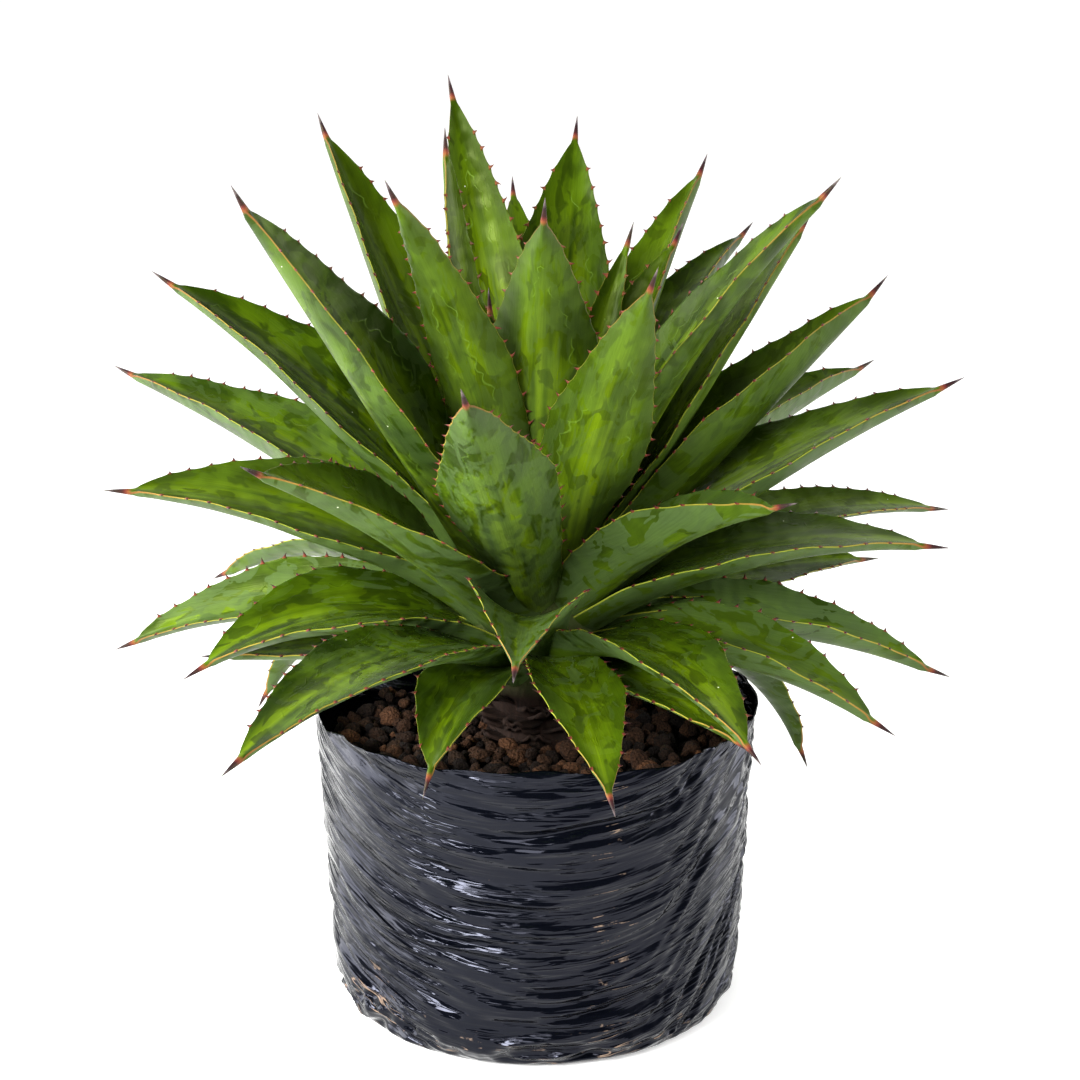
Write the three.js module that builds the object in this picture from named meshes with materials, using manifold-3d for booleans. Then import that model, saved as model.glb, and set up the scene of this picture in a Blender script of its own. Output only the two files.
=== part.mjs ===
// Potted agave: a dense rosette of thick, toothed, spine-tipped leaves on a short stem,
// growing out of volcanic gravel in a wrinkled black film grow-bag.
// Millimetres, +Z up, origin at the centre of the bag's flat foot.
import * as THREE from 'three';
import { mergeVertices } from 'three/addons/utils/BufferGeometryUtils.js';
import Module from 'manifold-3d';

const wasm = await Module();
wasm.setup();

// ---- driving dimensions (mm, degrees) ----
const GAP = 0.4;            // clearance kept between neighbouring pieces

const BAG_HEIGHT = 146;      // foot to rim
const BAG_RIM_R = 102;       // outer radius at the rim
const BAG_WAIST_R = 98.5;    // outer radius half way up
const BAG_HEEL_R = 95;       // outer radius where the bottom corner starts
const BAG_FOOT_R = 80;       // flat foot
const BAG_HEEL_Z = 17;       // height of the rounded bottom corner
const BAG_WALL = 1.6;        // film with its folds
const WRINKLE = 0.55;        // depth of the wrinkles in the film

const GRAVEL_TOP = 127;      // height of the fill under the stones
const STONE_PITCH = 21;      // spacing of the surface stones
const STONE_R = 11.2;        // mean radius of a surface stone

const STEM_FOOT_Z = 86;      // blind end of the stem in the gravel
const STEM_R = 19;           // stem where it leaves the gravel
const HEART_R = 29;          // thickest part of the heart the leaves grow from
const HEART_TOP = 217;

const ROOT_LOW = 166;        // height of the oldest leaf's root
const ROOT_HIGH = 212;       // height of the youngest leaf's root
const ROOT_R_OLD = 22;       // distance of the oldest root from the axis
const ROOT_R_YOUNG = 7;
const SPINE = 15;            // terminal spine
const SPINE_R = 1.7;         // its radius where it meets the blade
const TOOTH = 2.0;           // marginal tooth, outwards
const TOOTH_BASE = 3.2;      // and along the margin
const TEETH = 5;             // teeth on each margin

// Every leaf, oldest first: azimuth of its root (0 = +X, 90 = back), rise of its first
// stretch above the horizon, change of rise from root to tip, turn of the blade about
// its midrib, length with the spine, width, depth of the channel over half the width.
const LEAVES = [
  [245, 26, -90, 1, 108, 43, 0.35],
  [78, 12, -48, 0, 165, 44, 0.25],
  [149, 23, -90, -6, 170, 43, 0.19],
  [307, 13, -33, 9, 133, 36, 0.23],
  [29, 9, -84, 5, 176, 44, 0.26],
  [112, 14, -50, 0, 175, 44, 0.25],
  [239, 26, -47, -4, 220, 50, 0.19],
  [281, 16, -49, -4, 154, 40, 0.24],
  [267, 44, -62, -4, 158, 54, 0.51],
  [301, 30, -65, -5, 167, 54, 0.28],
  [203, 34, -68, -9, 158, 63, 0.27],
  [56, 15, -47, 0, 188, 46, 0.29],
  [338, 14, -49, 1, 160, 52, 0.45],
  [168, 15, -44, -35, 196, 40, 0.6],
  [87, 21, -46, 0, 192, 46, 0.3],
  [8, 7, -35, 13, 188, 41, 0.6],
  [199, 0, 1, -13, 140, 40, 0.28],
  [115, 29, -43, 0, 198, 45, 0.3],
  [142, 23, -56, 13, 204, 40, 0.15],
  [29, 10, -18, 30, 180, 42, 0.34],
  [27, 27, -41, 20, 222, 37, 0.27],
  [72, 32, -34, 0, 205, 46, 0.3],
  [354, 33, -42, 4, 180, 66, 0.2],
  [185, 39, -40, -19, 194, 66, 0.36],
  [228, 41, -19, -22, 190, 66, 0.35],
  [102, 40, -26, 0, 208, 46, 0.33],
  [323, 46, -33, 1, 144, 53, 0.6],
  [149, 29, -17, -7, 250, 56, 0.56],
  [4, 39, -19, 6, 210, 65, 0.3],
  [40, 33, -22, -3, 229, 57, 0.6],
  [127, 48, -25, 0, 210, 46, 0.33],
  [164, 53, -27, -12, 227, 66, 0.42],
  [261, 39, -1, 14, 213, 54, 0.46],
  [51, 64, -40, -13, 225, 55, 0.48],
  [9, 43, 1, -3, 207, 66, 0.57],
  [358, 58, 0, 13, 209, 44, 0.22],
  [340, 71, -28, 20, 233, 58, 0.33],
  [216, 54, 0, -40, 240, 66, 0.48],
  [299, 62, -4, -33, 185, 46, 0.25],
  [51, 64, -14, -16, 221, 52, 0.55],
  [96, 50, 6, -2, 198, 41, 0.36],
  [141, 59, 0, 0, 238, 57, 0.49],
  [238, 74, -25, 20, 221, 36, 0.28],
  [95, 63, -21, 5, 211, 43, 0.35],
  [80, 68, -12, 1, 224, 62, 0.34],
  [116, 75, -13, -19, 235, 46, 0.56],
  [174, 77, 8, -40, 203, 22, 0.14],
  [273, 83, -27, -14, 192, 57, 0.43],
  [35, 70, -13, 11, 169, 40, 0.51],
  [40, 75, -7, 33, 160, 26, 0.46],
  [215, 83, -2, 0, 130, 27, 0.5],
  [330, 86, -2, 0, 112, 24, 0.55],
];

const rad = (d) => (d * Math.PI) / 180;
const mix = (a, b, t) => a + (b - a) * t;
const ease = (t) => { const x = Math.min(1, Math.max(0, t)); return x * x * (3 - 2 * x); };

// Repeatable scatter for stones and dry leaf bases.
let seed = 20611;
const rand = () => { seed = (seed * 1103515245 + 12345) % 2147483648; return seed / 2147483648; };

// ---- closed meshes to solids and back ----
function toSolid(geometry) {
  const g = geometry.index ? geometry.toNonIndexed() : geometry.clone();
  for (const name of Object.keys(g.attributes)) if (name !== 'position') g.deleteAttribute(name);
  const m = mergeVertices(g, 1e-4);
  return new wasm.Manifold(new wasm.Mesh({
    numProp: 3,
    vertProperties: new Float32Array(m.attributes.position.array),
    triVerts: new Uint32Array(m.index.array),
  }));
}
function toGeometry(solid) {
  const mesh = solid.getMesh();
  const g = new THREE.BufferGeometry();
  g.setAttribute('position', new THREE.BufferAttribute(new Float32Array(mesh.vertProperties), 3));
  g.setIndex(new THREE.BufferAttribute(new Uint32Array(mesh.triVerts), 1));
  return g;
}
// The biggest connected body of a cut piece; loose scraps are dropped.
function mainBody(solid) {
  return solid.decompose().reduce((a, b) => (b.volume() > a.volume() ? b : a));
}

// ---- leaf ----
// Half width of the blade at s (0 root, 1 tip): a clasping neck, full at the middle,
// then a long taper to the spine.
function halfWidth(s, leaf) {
  const widest = 0.5;
  if (s <= widest) return (leaf.width / 2) * mix(0.6, 1, 0.5 - 0.5 * Math.cos(Math.PI * s / widest));
  const u = Math.min(1, (s - widest) / (leaf.bladeEnd - widest));
  return SPINE_R + (leaf.width / 2 - SPINE_R) * (1 - u ** 1.55) * (1 - 0.12 * Math.sin(Math.PI * u));
}
// Thickness at the midrib: fleshy at the root, thin towards the spine.
function thickness(s, leaf) {
  const u = Math.min(1, s / leaf.bladeEnd);
  return mix(leaf.width * 0.2, 3.2, u ** 0.8);
}
// Midrib points and frames: along, across, and up out of the upper face.
function midrib(leaf) {
  const steps = 60, frames = [];
  const p = leaf.root.clone();
  const dir = (s) => {
    const el = rad(leaf.rise + leaf.bend * s);
    return new THREE.Vector3(Math.cos(el) * Math.cos(leaf.az), Math.cos(el) * Math.sin(leaf.az), Math.sin(el));
  };
  for (let i = 0; i <= steps; i++) {
    const s = i / steps, along = dir(s);
    const across = new THREE.Vector3(-Math.sin(leaf.az), Math.cos(leaf.az), 0);
    const up = new THREE.Vector3().crossVectors(along, across);
    const roll = leaf.roll * ease(s / 0.45);
    frames.push({
      p: p.clone(), along,
      across: across.clone().multiplyScalar(Math.cos(roll)).addScaledVector(up, Math.sin(roll)),
      up: up.clone().multiplyScalar(Math.cos(roll)).addScaledVector(across, -Math.sin(roll)),
    });
    p.addScaledVector(dir(s + 0.5 / steps), leaf.length / steps);
  }
  return frames;
}
// A point of the leaf: s along, t across (-1 to 1), on the upper or the lower face,
// `out` beyond the margin, `grow` thicker all round.
function leafPoint(leaf, s, t, face, out = 0, grow = 0) {
  const n = leaf.frames.length - 1, i = Math.min(n - 1, Math.floor(s * n)), f = s * n - i;
  const a = leaf.frames[i], b = leaf.frames[i + 1];
  const blend = (k) => a[k].clone().lerp(b[k], f);
  const fade = s > leaf.bladeEnd ? Math.max(0, (1 - s) / (1 - leaf.bladeEnd)) : 1;
  const w = s > leaf.bladeEnd ? SPINE_R * fade : halfWidth(s, leaf);
  const cup = leaf.cup * w * ease((1 - s) / 0.12) * mix(0.55, 1, ease(s / 0.25));
  const edge = Math.abs(t) === 1, side = Math.sign(t);
  let h = cup * Math.abs(t) ** 1.8 + (edge ? 1.2 : face) * grow;
  if (face < 0) h -= thickness(s, leaf) * fade * (1 - Math.abs(t) ** 2.2) ** 0.8;
  const x = w * t * (1 - 0.3 * leaf.cup ** 2) + side * (out + (edge ? 1.6 * grow : 0));
  return blend('p').addScaledVector(blend('across').normalize(), x)
    .addScaledVector(blend('up').normalize(), h + out * leaf.cup);
}
// Closed body of a leaf. Its margins carry the teeth, its end is the spine.
function leafGeometry(leaf, grow = 0) {
  const stations = [0, 0.14, 0.31, 0.49, 0.66, 0.81, leaf.bladeEnd];
  const line = (t, face) => stations.map((s) => ({ s, p: leafPoint(leaf, s, t, face, 0, grow) }));
  const margin = (t) => {
    const pts = line(t, 1);
    const half = TOOTH_BASE / 2 / leaf.length;
    for (let k = 0; k < TEETH; k++) {
      const s = mix(0.27, leaf.bladeEnd - 0.035, (k + (t > 0 ? 0.15 : 0.5)) / (TEETH - 0.35));
      if (s > leaf.bladeEnd - 0.02) continue;
      const size = TOOTH * mix(1, 0.75, s) + grow;
      pts.push({ s: s - half, p: leafPoint(leaf, s - half, t, 1, 0, grow) });
      pts.push({ s, p: leafPoint(leaf, s + half * 0.5, t, 1, size, grow) });
      pts.push({ s: s + half, p: leafPoint(leaf, s + half, t, 1, 0, grow) });
    }
    return pts.sort((a, b) => a.s - b.s);
  };
  const rings = [margin(1), line(0, 1), margin(-1), line(-0.6, -1), line(0, -1), line(0.6, -1)];
  const tip = leafPoint(leaf, 1, 0, 1, 0, 0).addScaledVector(leaf.frames.at(-1).along, grow);
  const v = [];
  const tri = (a, c, b) => v.push(a.x, a.y, a.z, b.x, b.y, b.z, c.x, c.y, c.z);
  for (let k = 0; k < rings.length; k++) {
    const A = rings[k], B = rings[(k + 1) % rings.length];
    let i = 0, j = 0;
    while (i < A.length - 1 || j < B.length - 1) {
      const stepA = j === B.length - 1 || (i < A.length - 1 && A[i + 1].s <= B[j + 1].s);
      if (stepA) { tri(A[i].p, A[i + 1].p, B[j].p); i++; } else { tri(A[i].p, B[j + 1].p, B[j].p); j++; }
    }
    tri(A.at(-1).p, tip, B.at(-1).p);
  }
  const first = rings.map((r) => r[0].p);
  const middle = first.reduce((a, b) => a.add(b), new THREE.Vector3()).divideScalar(first.length);
  for (let k = 0; k < first.length; k++) tri(middle, rings[k][0].p, rings[(k + 1) % rings.length][0].p);
  const g = new THREE.BufferGeometry();
  g.setAttribute('position', new THREE.Float32BufferAttribute(v, 3));
  return g;
}

// ---- bag, gravel, stem ----
// Outer radius of the bag at height z.
function bagRadius(z) {
  if (z < BAG_HEEL_Z) {
    const u = 1 - z / BAG_HEEL_Z;
    return BAG_FOOT_R + (BAG_HEEL_R - BAG_FOOT_R) * Math.sqrt(1 - u * u);
  }
  const u = (z - BAG_HEEL_Z) / (BAG_HEIGHT - BAG_HEEL_Z);
  return mix(BAG_HEEL_R, BAG_RIM_R, u) + Math.sin(Math.PI * u) * (BAG_WAIST_R - (BAG_HEEL_R + BAG_RIM_R) / 2);
}
// Inside of the bag: straight stretches between these heights, rim first.
const INNER_Z = [BAG_HEIGHT, 100, 45, 17, 8, 4, BAG_WALL];
const innerAt = (z) => (z > BAG_WALL ? bagRadius(z) - BAG_WALL : BAG_FOOT_R - 1.5);
function insideRadius(z) {
  const i = Math.max(1, INNER_Z.findIndex((h) => h <= z));
  const [high, low] = [INNER_Z[i - 1], INNER_Z[i]];
  return mix(innerAt(low), innerAt(high), (z - low) / (high - low));
}
// Wrinkles of the film: slanting ripples, stronger towards the foot.
function wrinkle(z, a) {
  const ripple = Math.sin(z * 0.42 + 3 * Math.sin(a) + 2 * Math.sin(2 * a + 1)) * 0.6
    + Math.sin(9 * a + z * 0.11) * 0.4;
  return WRINKLE * ripple * ease(z / 10) * ease((BAG_HEIGHT + 4 - z) / 8);
}
function bagGeometry() {
  const around = 40;
  const outer = [0, 4, 9, 17, 32, 48, 64, 80, 96, 112, 129, BAG_HEIGHT];
  const rows = [];
  for (const z of outer) rows.push((a) => [bagRadius(z) + wrinkle(z, a), z]);
  for (const z of INNER_Z) rows.push(() => [insideRadius(z), z]);
  const v = [];
  const at = (row, k) => {
    const a = (2 * Math.PI * (k % around)) / around, [r, z] = rows[row](a);
    return [r * Math.cos(a), r * Math.sin(a), z];
  };
  for (let k = 0; k < around; k++) {
    for (let row = 0; row + 1 < rows.length; row++) {
      const p = at(row, k), q = at(row, k + 1), r = at(row + 1, k + 1), s = at(row + 1, k);
      v.push(...p, ...q, ...r, ...p, ...r, ...s);
    }
    v.push(0, 0, 0, ...at(0, k + 1), ...at(0, k));
    v.push(0, 0, BAG_WALL, ...at(rows.length - 1, k), ...at(rows.length - 1, k + 1));
  }
  const g = new THREE.BufferGeometry();
  g.setAttribute('position', new THREE.Float32BufferAttribute(v, 3));
  return g;
}
function lathe(profile, around) {
  const g = new THREE.LatheGeometry(profile.map(([r, z]) => new THREE.Vector2(r, z)), around);
  return g.rotateX(Math.PI / 2);
}
// A rough volcanic grain.
function stoneGeometry(r) {
  const g = mergeVertices((() => { const i = new THREE.IcosahedronGeometry(r, 0);
    i.deleteAttribute('normal'); i.deleteAttribute('uv'); return i; })(), 1e-4);
  const p = g.attributes.position;
  for (let i = 0; i < p.count; i++) {
    const k = 0.78 + 0.44 * rand();
    p.setXYZ(i, p.getX(i) * k, p.getY(i) * k, p.getZ(i) * k);
  }
  return g.rotateX(rand() * 6).rotateY(rand() * 6).rotateZ(rand() * 6).scale(1, 1, 0.75);
}
// Column of the fill up to height z, clear of the bag all round.
function fillProfile(top) {
  const heights = INNER_Z.slice(1, -1).reverse();
  const profile = [[0, BAG_WALL + GAP], [insideRadius(BAG_WALL) - GAP, BAG_WALL + GAP]];
  for (const z of [...heights, top]) profile.push([insideRadius(z) - GAP - 0.15, z]);
  return [...profile, [0, top]];
}
function gravelSolid() {
  let solid = toSolid(lathe(fillProfile(GRAVEL_TOP), 40));
  const edge = insideRadius(GRAVEL_TOP) - GAP;
  for (let row = -7; row <= 7; row++) {
    for (let col = -7; col <= 7; col++) {
      const x = (col + (row & 1 ? 0.5 : 0)) * STONE_PITCH + (rand() - 0.5) * 5;
      const y = row * STONE_PITCH * 0.87 + (rand() - 0.5) * 5;
      const r = STONE_R * (0.75 + 0.45 * rand()), d = Math.hypot(x, y);
      const stone = stoneGeometry(r).translate(x, y, GRAVEL_TOP + 1.5 * rand() - 1);
      if (d + r * 0.95 < edge + 1 && d > STEM_R + 5) solid = solid.add(toSolid(stone));
    }
  }
  solid = solid.intersect(toSolid(lathe(fillProfile(GRAVEL_TOP + 14), 40)));
  const hole = lathe([[0, STEM_FOOT_Z - GAP], [STEM_R + GAP + 0.2, STEM_FOOT_Z - GAP],
    [STEM_R + GAP + 0.2, GRAVEL_TOP + 20], [0, GRAVEL_TOP + 20]], 24);
  return mainBody(solid.subtract(toSolid(hole)));
}
// Stem and heart, with the dry bases of shed leaves round it; `grow` swells it for clearance.
function heartSolid(grow) {
  const r = (x) => x + grow;
  const body = lathe([[0, STEM_FOOT_Z - grow], [r(STEM_R - 4), STEM_FOOT_Z - grow], [r(STEM_R - 0.6), STEM_FOOT_Z + 8],
    [r(STEM_R - 0.6), 140], [r(HEART_R - 4), 153], [r(HEART_R), 168], [r(HEART_R), 186], [r(HEART_R * 0.78), 204],
    [r(HEART_R * 0.45), HEART_TOP], [0, HEART_TOP + 3 + grow]], 12);
  return toSolid(body);
}
function dryBases(solid) {
  const rows = [[143, 5, 5], [148, 5, 6]];
  rows.forEach(([z, count, reach], n) => {
    for (let k = 0; k < count; k++) {
      const a = (k + 0.5 * n + 0.2 * (rand() - 0.5)) * 2 * Math.PI / count;
      const scale = new THREE.CylinderGeometry(4, 9, reach + 8, 5).scale(1, 1, 0.34)
        .rotateX(Math.PI / 2).rotateX(-Math.PI).rotateZ(0)
        .rotateX(rad(12 + 10 * rand())).rotateZ(-Math.PI / 2 + a);
      const dist = STEM_R - 6 + (reach + 8) / 2;
      scale.translate(dist * Math.cos(a), dist * Math.sin(a), z);
      solid = solid.add(toSolid(scale));
    }
  });
  return solid;
}

// ---- assembly ----
const agave = new THREE.Group();
function addMesh(name, geometry, color, roughness) {
  geometry.computeVertexNormals();
  const mesh = new THREE.Mesh(geometry, new THREE.MeshStandardMaterial({ color, roughness, metalness: 0 }));
  mesh.name = name;
  agave.add(mesh);
  return mesh;
}

addMesh('grow_bag', bagGeometry(), 0x1d1f29, 0.35);
addMesh('gravel', toGeometry(gravelSolid()), 0x3a2b24, 0.95);

const count = LEAVES.length;
const leaves = LEAVES.map(([azimuth, rise, bend, roll, length, width, cup], k) => {
  const age = k / (count - 1), az = rad(azimuth), r = mix(ROOT_R_OLD, ROOT_R_YOUNG, age);
  const leaf = { az, rise, bend, roll: rad(roll), length, width, cup, bladeEnd: 1 - SPINE / length,
    root: new THREE.Vector3(r * Math.cos(az), r * Math.sin(az), mix(ROOT_LOW, ROOT_HIGH, age)) };
  leaf.frames = midrib(leaf);
  return leaf;
});
const heart = heartSolid(0);
const heartRoom = heartSolid(GAP);
const solids = leaves.map((leaf) => toSolid(leafGeometry(leaf)));
const rooms = leaves.map((leaf) => toSolid(leafGeometry(leaf, GAP)));
const meet = (a, b) => {
  const p = a.boundingBox(), q = b.boundingBox();
  return [0, 1, 2].every((i) => p.min[i] < q.max[i] && q.min[i] < p.max[i]);
};
for (let k = 0; k < count; k++) {
  let body = solids[k].subtract(heartRoom);
  for (let j = k + 1; j < count; j++) {
    if (meet(body, rooms[j])) body = body.subtract(rooms[j].add(solids[j]));
  }
  addMesh(`leaf_${String(k + 1).padStart(2, '0')}`, toGeometry(mainBody(body)), 0x4f7a2a, 0.5);
}
addMesh('stem', toGeometry(mainBody(dryBases(heart))), 0x4a3626, 0.85);

export default agave;
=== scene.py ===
# Potted agave: a rosette of thick toothed leaves in volcanic gravel in a wrinkled black film bag.
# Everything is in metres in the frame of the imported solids: +Z up, origin at the bag's foot.
import math
import random

import bmesh
import bpy
import numpy as np
from mathutils import Matrix, Vector, noise


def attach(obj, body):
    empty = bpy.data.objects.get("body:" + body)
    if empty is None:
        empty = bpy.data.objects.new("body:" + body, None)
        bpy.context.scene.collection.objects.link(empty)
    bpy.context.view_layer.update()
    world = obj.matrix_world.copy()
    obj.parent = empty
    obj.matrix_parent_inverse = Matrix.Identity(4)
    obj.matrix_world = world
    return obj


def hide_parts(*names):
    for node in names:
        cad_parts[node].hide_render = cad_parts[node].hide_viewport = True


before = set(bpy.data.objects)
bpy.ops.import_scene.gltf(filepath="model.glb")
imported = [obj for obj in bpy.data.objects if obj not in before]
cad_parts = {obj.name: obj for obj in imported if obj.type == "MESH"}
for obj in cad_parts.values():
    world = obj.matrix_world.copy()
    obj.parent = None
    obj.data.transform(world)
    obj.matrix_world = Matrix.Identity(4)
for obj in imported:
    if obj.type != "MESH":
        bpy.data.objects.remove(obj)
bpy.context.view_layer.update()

# ---------------------------------------------------------------- camera
# A long lens 1.12 m away and 15 degrees above level, which shows the bag's rim as a flat ellipse
# and the upper leaves from the side. Its focal length is for a picture 1080 points square.
PICTURE_PX = 1080
CAMERA_FOCAL_PX = 2450
CAMERA_DISTANCE = 1.120
CAMERA_PITCH = math.radians(15)
CAMERA_TARGET = Vector((0.0018, 0, 0.221))
SENSOR_WIDTH = 36

camera_data = bpy.data.cameras.new("camera")
camera_data.sensor_width = SENSOR_WIDTH
camera_data.sensor_fit = "HORIZONTAL"
camera_data.lens = SENSOR_WIDTH * CAMERA_FOCAL_PX / PICTURE_PX
camera = bpy.data.objects.new("camera", camera_data)
bpy.context.scene.collection.objects.link(camera)
look = Vector((0, math.cos(CAMERA_PITCH), -math.sin(CAMERA_PITCH)))
camera.location = CAMERA_TARGET - look * CAMERA_DISTANCE
camera.rotation_euler = (math.pi / 2 - CAMERA_PITCH, 0, 0)
bpy.context.scene.camera = camera


# ---------------------------------------------------------------- floor and studio
# Matt white paper in a white studio that is darker overhead and on the camera's side, so that
# the film shows grey at its flanks and black at its front. The paper glows a little, to stay
# white in the weaker light from above. Colours are shown as they are.
FLOOR_HALF = 40
FLOOR_GLOW = 0.4
# name, place and aim in metres, width and height in metres, watts
SOFTBOXES = (
    ("window_left", (-0.95, -1.10, 0.74), (0, 0, 0.15), (1.0, 0.34), 52),
    ("front_fill", (-0.55, -1.55, 1.10), (0, 0, 0.28), (1.0, 0.6), 20),
    ("softbox_left", (-1.5, 0.0, 0.5), (0, 0, 0.12), (1.1, 1.1), 44),
    ("softbox_right", (1.5, 0.0, 0.5), (0, 0, 0.12), (0.7, 0.9), 20),
)


def linear(hex_colour):
    """sRGB hex to the linear, opaque colour that a shader socket takes."""
    parts = [int(hex_colour[i:i + 2], 16) / 255 for i in (1, 3, 5)]
    return (*[c / 12.92 if c <= 0.04045 else ((c + 0.055) / 1.055) ** 2.4 for c in parts], 1.0)


def add_node(tree, kind, inputs=(), out=None, stops=(), **settings):
    """Adds one shader node and gives its output called out, or else the first one in use.

    inputs are values or outputs to link, by name or in the node's own order, so a MapRange takes
    its value, the two ends that it runs between, and the two that it is brought to. stops are
    the places and colours of a colour ramp, and settings are the node's other options.
    """
    node = tree.nodes.new("ShaderNode" + kind)
    for name, value in settings.items():
        setattr(node, name, value)
    for name, value in inputs.items() if isinstance(inputs, dict) else enumerate(inputs):
        if isinstance(value, bpy.types.NodeSocket):
            tree.links.new(value, node.inputs[name])
        else:
            node.inputs[name].default_value = value
    if stops:
        ramp = node.color_ramp.elements
        ramp[0].position, ramp[1].position = stops[0][0], stops[-1][0]
        for place, _ in stops[1:-1]:
            ramp.new(place)
        for stop, (_, colour) in zip(ramp, stops):
            stop.color = linear(colour)
    return node.outputs[out] if out else next(socket for socket in node.outputs if socket.enabled)


def new_material(name):
    """A material with its node tree and its Principled shader."""
    material = bpy.data.materials.new(name)
    material.use_nodes = True
    tree = material.node_tree
    return material, tree, tree.nodes["Principled BSDF"]


bpy.context.scene.view_settings.view_transform = "Standard"
floor_bm = bmesh.new()
bmesh.ops.create_grid(floor_bm, x_segments=2, y_segments=2, size=FLOOR_HALF)
floor_mesh = bpy.data.meshes.new("floor")
floor_bm.to_mesh(floor_mesh)
floor_bm.free()
floor = bpy.data.objects.new("floor", floor_mesh)
bpy.context.scene.collection.objects.link(floor)
paper, tree, shader = new_material("matt_white_paper")
shader.inputs["Base Color"].default_value = linear("#f2f2f0")
shader.inputs["Roughness"].default_value = 0.9
shader.inputs["Specular IOR Level"].default_value = 0.2
shader.inputs["Emission Color"].default_value = linear("#ffffff")
shader.inputs["Emission Strength"].default_value = FLOOR_GLOW
floor_mesh.materials.append(paper)

world = bpy.data.worlds.new("studio")
bpy.context.scene.world = world
world.use_nodes = True
studio = world.node_tree
backdrop = studio.nodes["Background"]
way = add_node(studio, "SeparateXYZ", (add_node(studio, "TexCoord", out="Generated"),)).node.outputs
towards_back = add_node(studio, "Math", (way["Z"], -0.7, way["Y"]), operation="MULTIPLY_ADD")
brightness = add_node(studio, "MapRange", (towards_back, -0.9, -0.25, 0.12, 1.25))
studio.links.new(brightness, backdrop.inputs["Strength"])
backdrop.inputs["Color"].default_value = linear("#ffffff")
for name, at, aim, size, power in SOFTBOXES:
    lamp_data = bpy.data.lights.new(name, "AREA")
    lamp_data.shape = "RECTANGLE"
    lamp_data.size, lamp_data.size_y = size
    lamp_data.energy = power
    lamp = bpy.data.objects.new(name, lamp_data)
    lamp.location = at
    lamp.rotation_euler = (Vector(aim) - Vector(at)).to_track_quat("-Z", "Y").to_euler()
    bpy.context.scene.collection.objects.link(lamp)


# ---------------------------------------------------------------- grow-bag
# A blown polyethylene nursery bag, opened out and filled, so its thin black film stands in
# hundreds of small creases: slanting at the sides, level at the front. Its bottom corner is
# tucked under to a flat foot, and its rim is a plain cut edge, slightly ragged.
MM = 0.001                   # sizes from here on are in millimetres
BAG_HEIGHT = 146
BAG_RIM_R = 102
BAG_WAIST_R = 98.5
BAG_HEEL_R = 95              # where the wall turns in to the foot
BAG_HEEL_Z = 17
BAG_FOOT_R = 80
BAG_MID_R = 98               # the creases are laid out on this radius
BAG_INSIDE_Z = 114           # the inner face ends under the gravel
BAG_FILM = 0.5               # film with the folds that lie on it
BAG_AROUND, BAG_ROWS = 460, 212
FOOT_SHARE, RIM_SHARE = 0.05, 0.9    # the grid's rows: foot, then the outside, then the inside
LIFT, LIFT_POWER = 30, 2.6   # how the film's tension lines climb from the middle to the sides
CREST_R = 0.9                # radius of a crease's crest
STEEP_FROM, STEEP_TO = 45, 165       # where creases stand steeply, round from the front
STEEP_LONG, STEEP_WIDE, STEEP_SLOPE = 55, 8, 1.1
STEEP_CREST = 0.1            # radius of a steep crease's crest, as a share of its width
SPARE_ANGLE = math.radians(-143)     # the seam's spare corner, at the front left of the foot
PLEATS = 9                   # gathers where the wall is tucked under


def ease(x):
    """A smooth step from 0 to 1."""
    x = np.clip(x, 0, 1)
    return x * x * (3 - 2 * x)


def bag_radius(z):
    """Radius of the filled bag at a height, without its creases."""
    heel = np.clip(1 - z / BAG_HEEL_Z, 0, 1)
    low = BAG_FOOT_R + (BAG_HEEL_R - BAG_FOOT_R) * np.sqrt(1 - heel * heel)
    up = np.clip((z - BAG_HEEL_Z) / (BAG_HEIGHT - BAG_HEEL_Z), 0, 1)
    high = BAG_HEEL_R + (BAG_RIM_R - BAG_HEEL_R) * up
    high = high + np.sin(np.pi * up) * (BAG_WAIST_R - (BAG_HEEL_R + BAG_RIM_R) / 2)
    return np.where(z < BAG_HEEL_Z, low, high)


def smooth_noise(x, y, z):
    """Smooth noise, -1 to 1, at each place."""
    return np.array([noise.noise(place) for place in zip(x, y, z)])


def film_ridge(x, y, z, long, wide, seed):
    """Ridges of the film, long mm by wide mm, along its tension lines; 1 on their crests."""
    level = z - LIFT * (np.abs(x) / BAG_MID_R) ** LIFT_POWER
    return 1 - 4 * np.hypot(smooth_noise(x / long + seed, y / long - seed, level / wide), CREST_R / wide)


def add_piece(name, bm, material, slot, *nodes):
    """Makes the mesh an object that rides with the plant and stands for its solids."""
    bmesh.ops.recalc_face_normals(bm, faces=bm.faces)
    mesh = bpy.data.meshes.new(name)
    bm.to_mesh(mesh)
    bm.free()
    mesh.shade_smooth()
    mesh.materials.append(material)
    piece = bpy.data.objects.new(name, mesh)
    bpy.context.scene.collection.objects.link(piece)
    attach(piece, "root")
    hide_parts(*nodes)
    return piece


bag_bm = bmesh.new()
bmesh.ops.create_grid(bag_bm, x_segments=BAG_AROUND, y_segments=BAG_ROWS, size=0.5, calc_uvs=False)
bag_verts = list(bag_bm.verts)
bag_angle = np.array([v.co.x for v in bag_verts]) * 2 * math.pi
row_share = np.array([v.co.y + 0.5 for v in bag_verts])
on_foot = row_share < FOOT_SHARE
up_outside = np.clip((row_share - FOOT_SHARE) / (RIM_SHARE - FOOT_SHARE), 0, 1)
down_inside = np.clip((row_share - RIM_SHARE) / (1 - RIM_SHARE), 0, 1)
rim_wave = (1.1 * np.sin(3 * bag_angle + 1) + 0.8 * np.sin(7 * bag_angle)
            + 0.5 * np.sin(17 * bag_angle + 2) - 1.5)
bag_z = up_outside ** 1.15 * (BAG_HEIGHT + rim_wave) - down_inside * (BAG_HEIGHT - BAG_INSIDE_Z)
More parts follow.
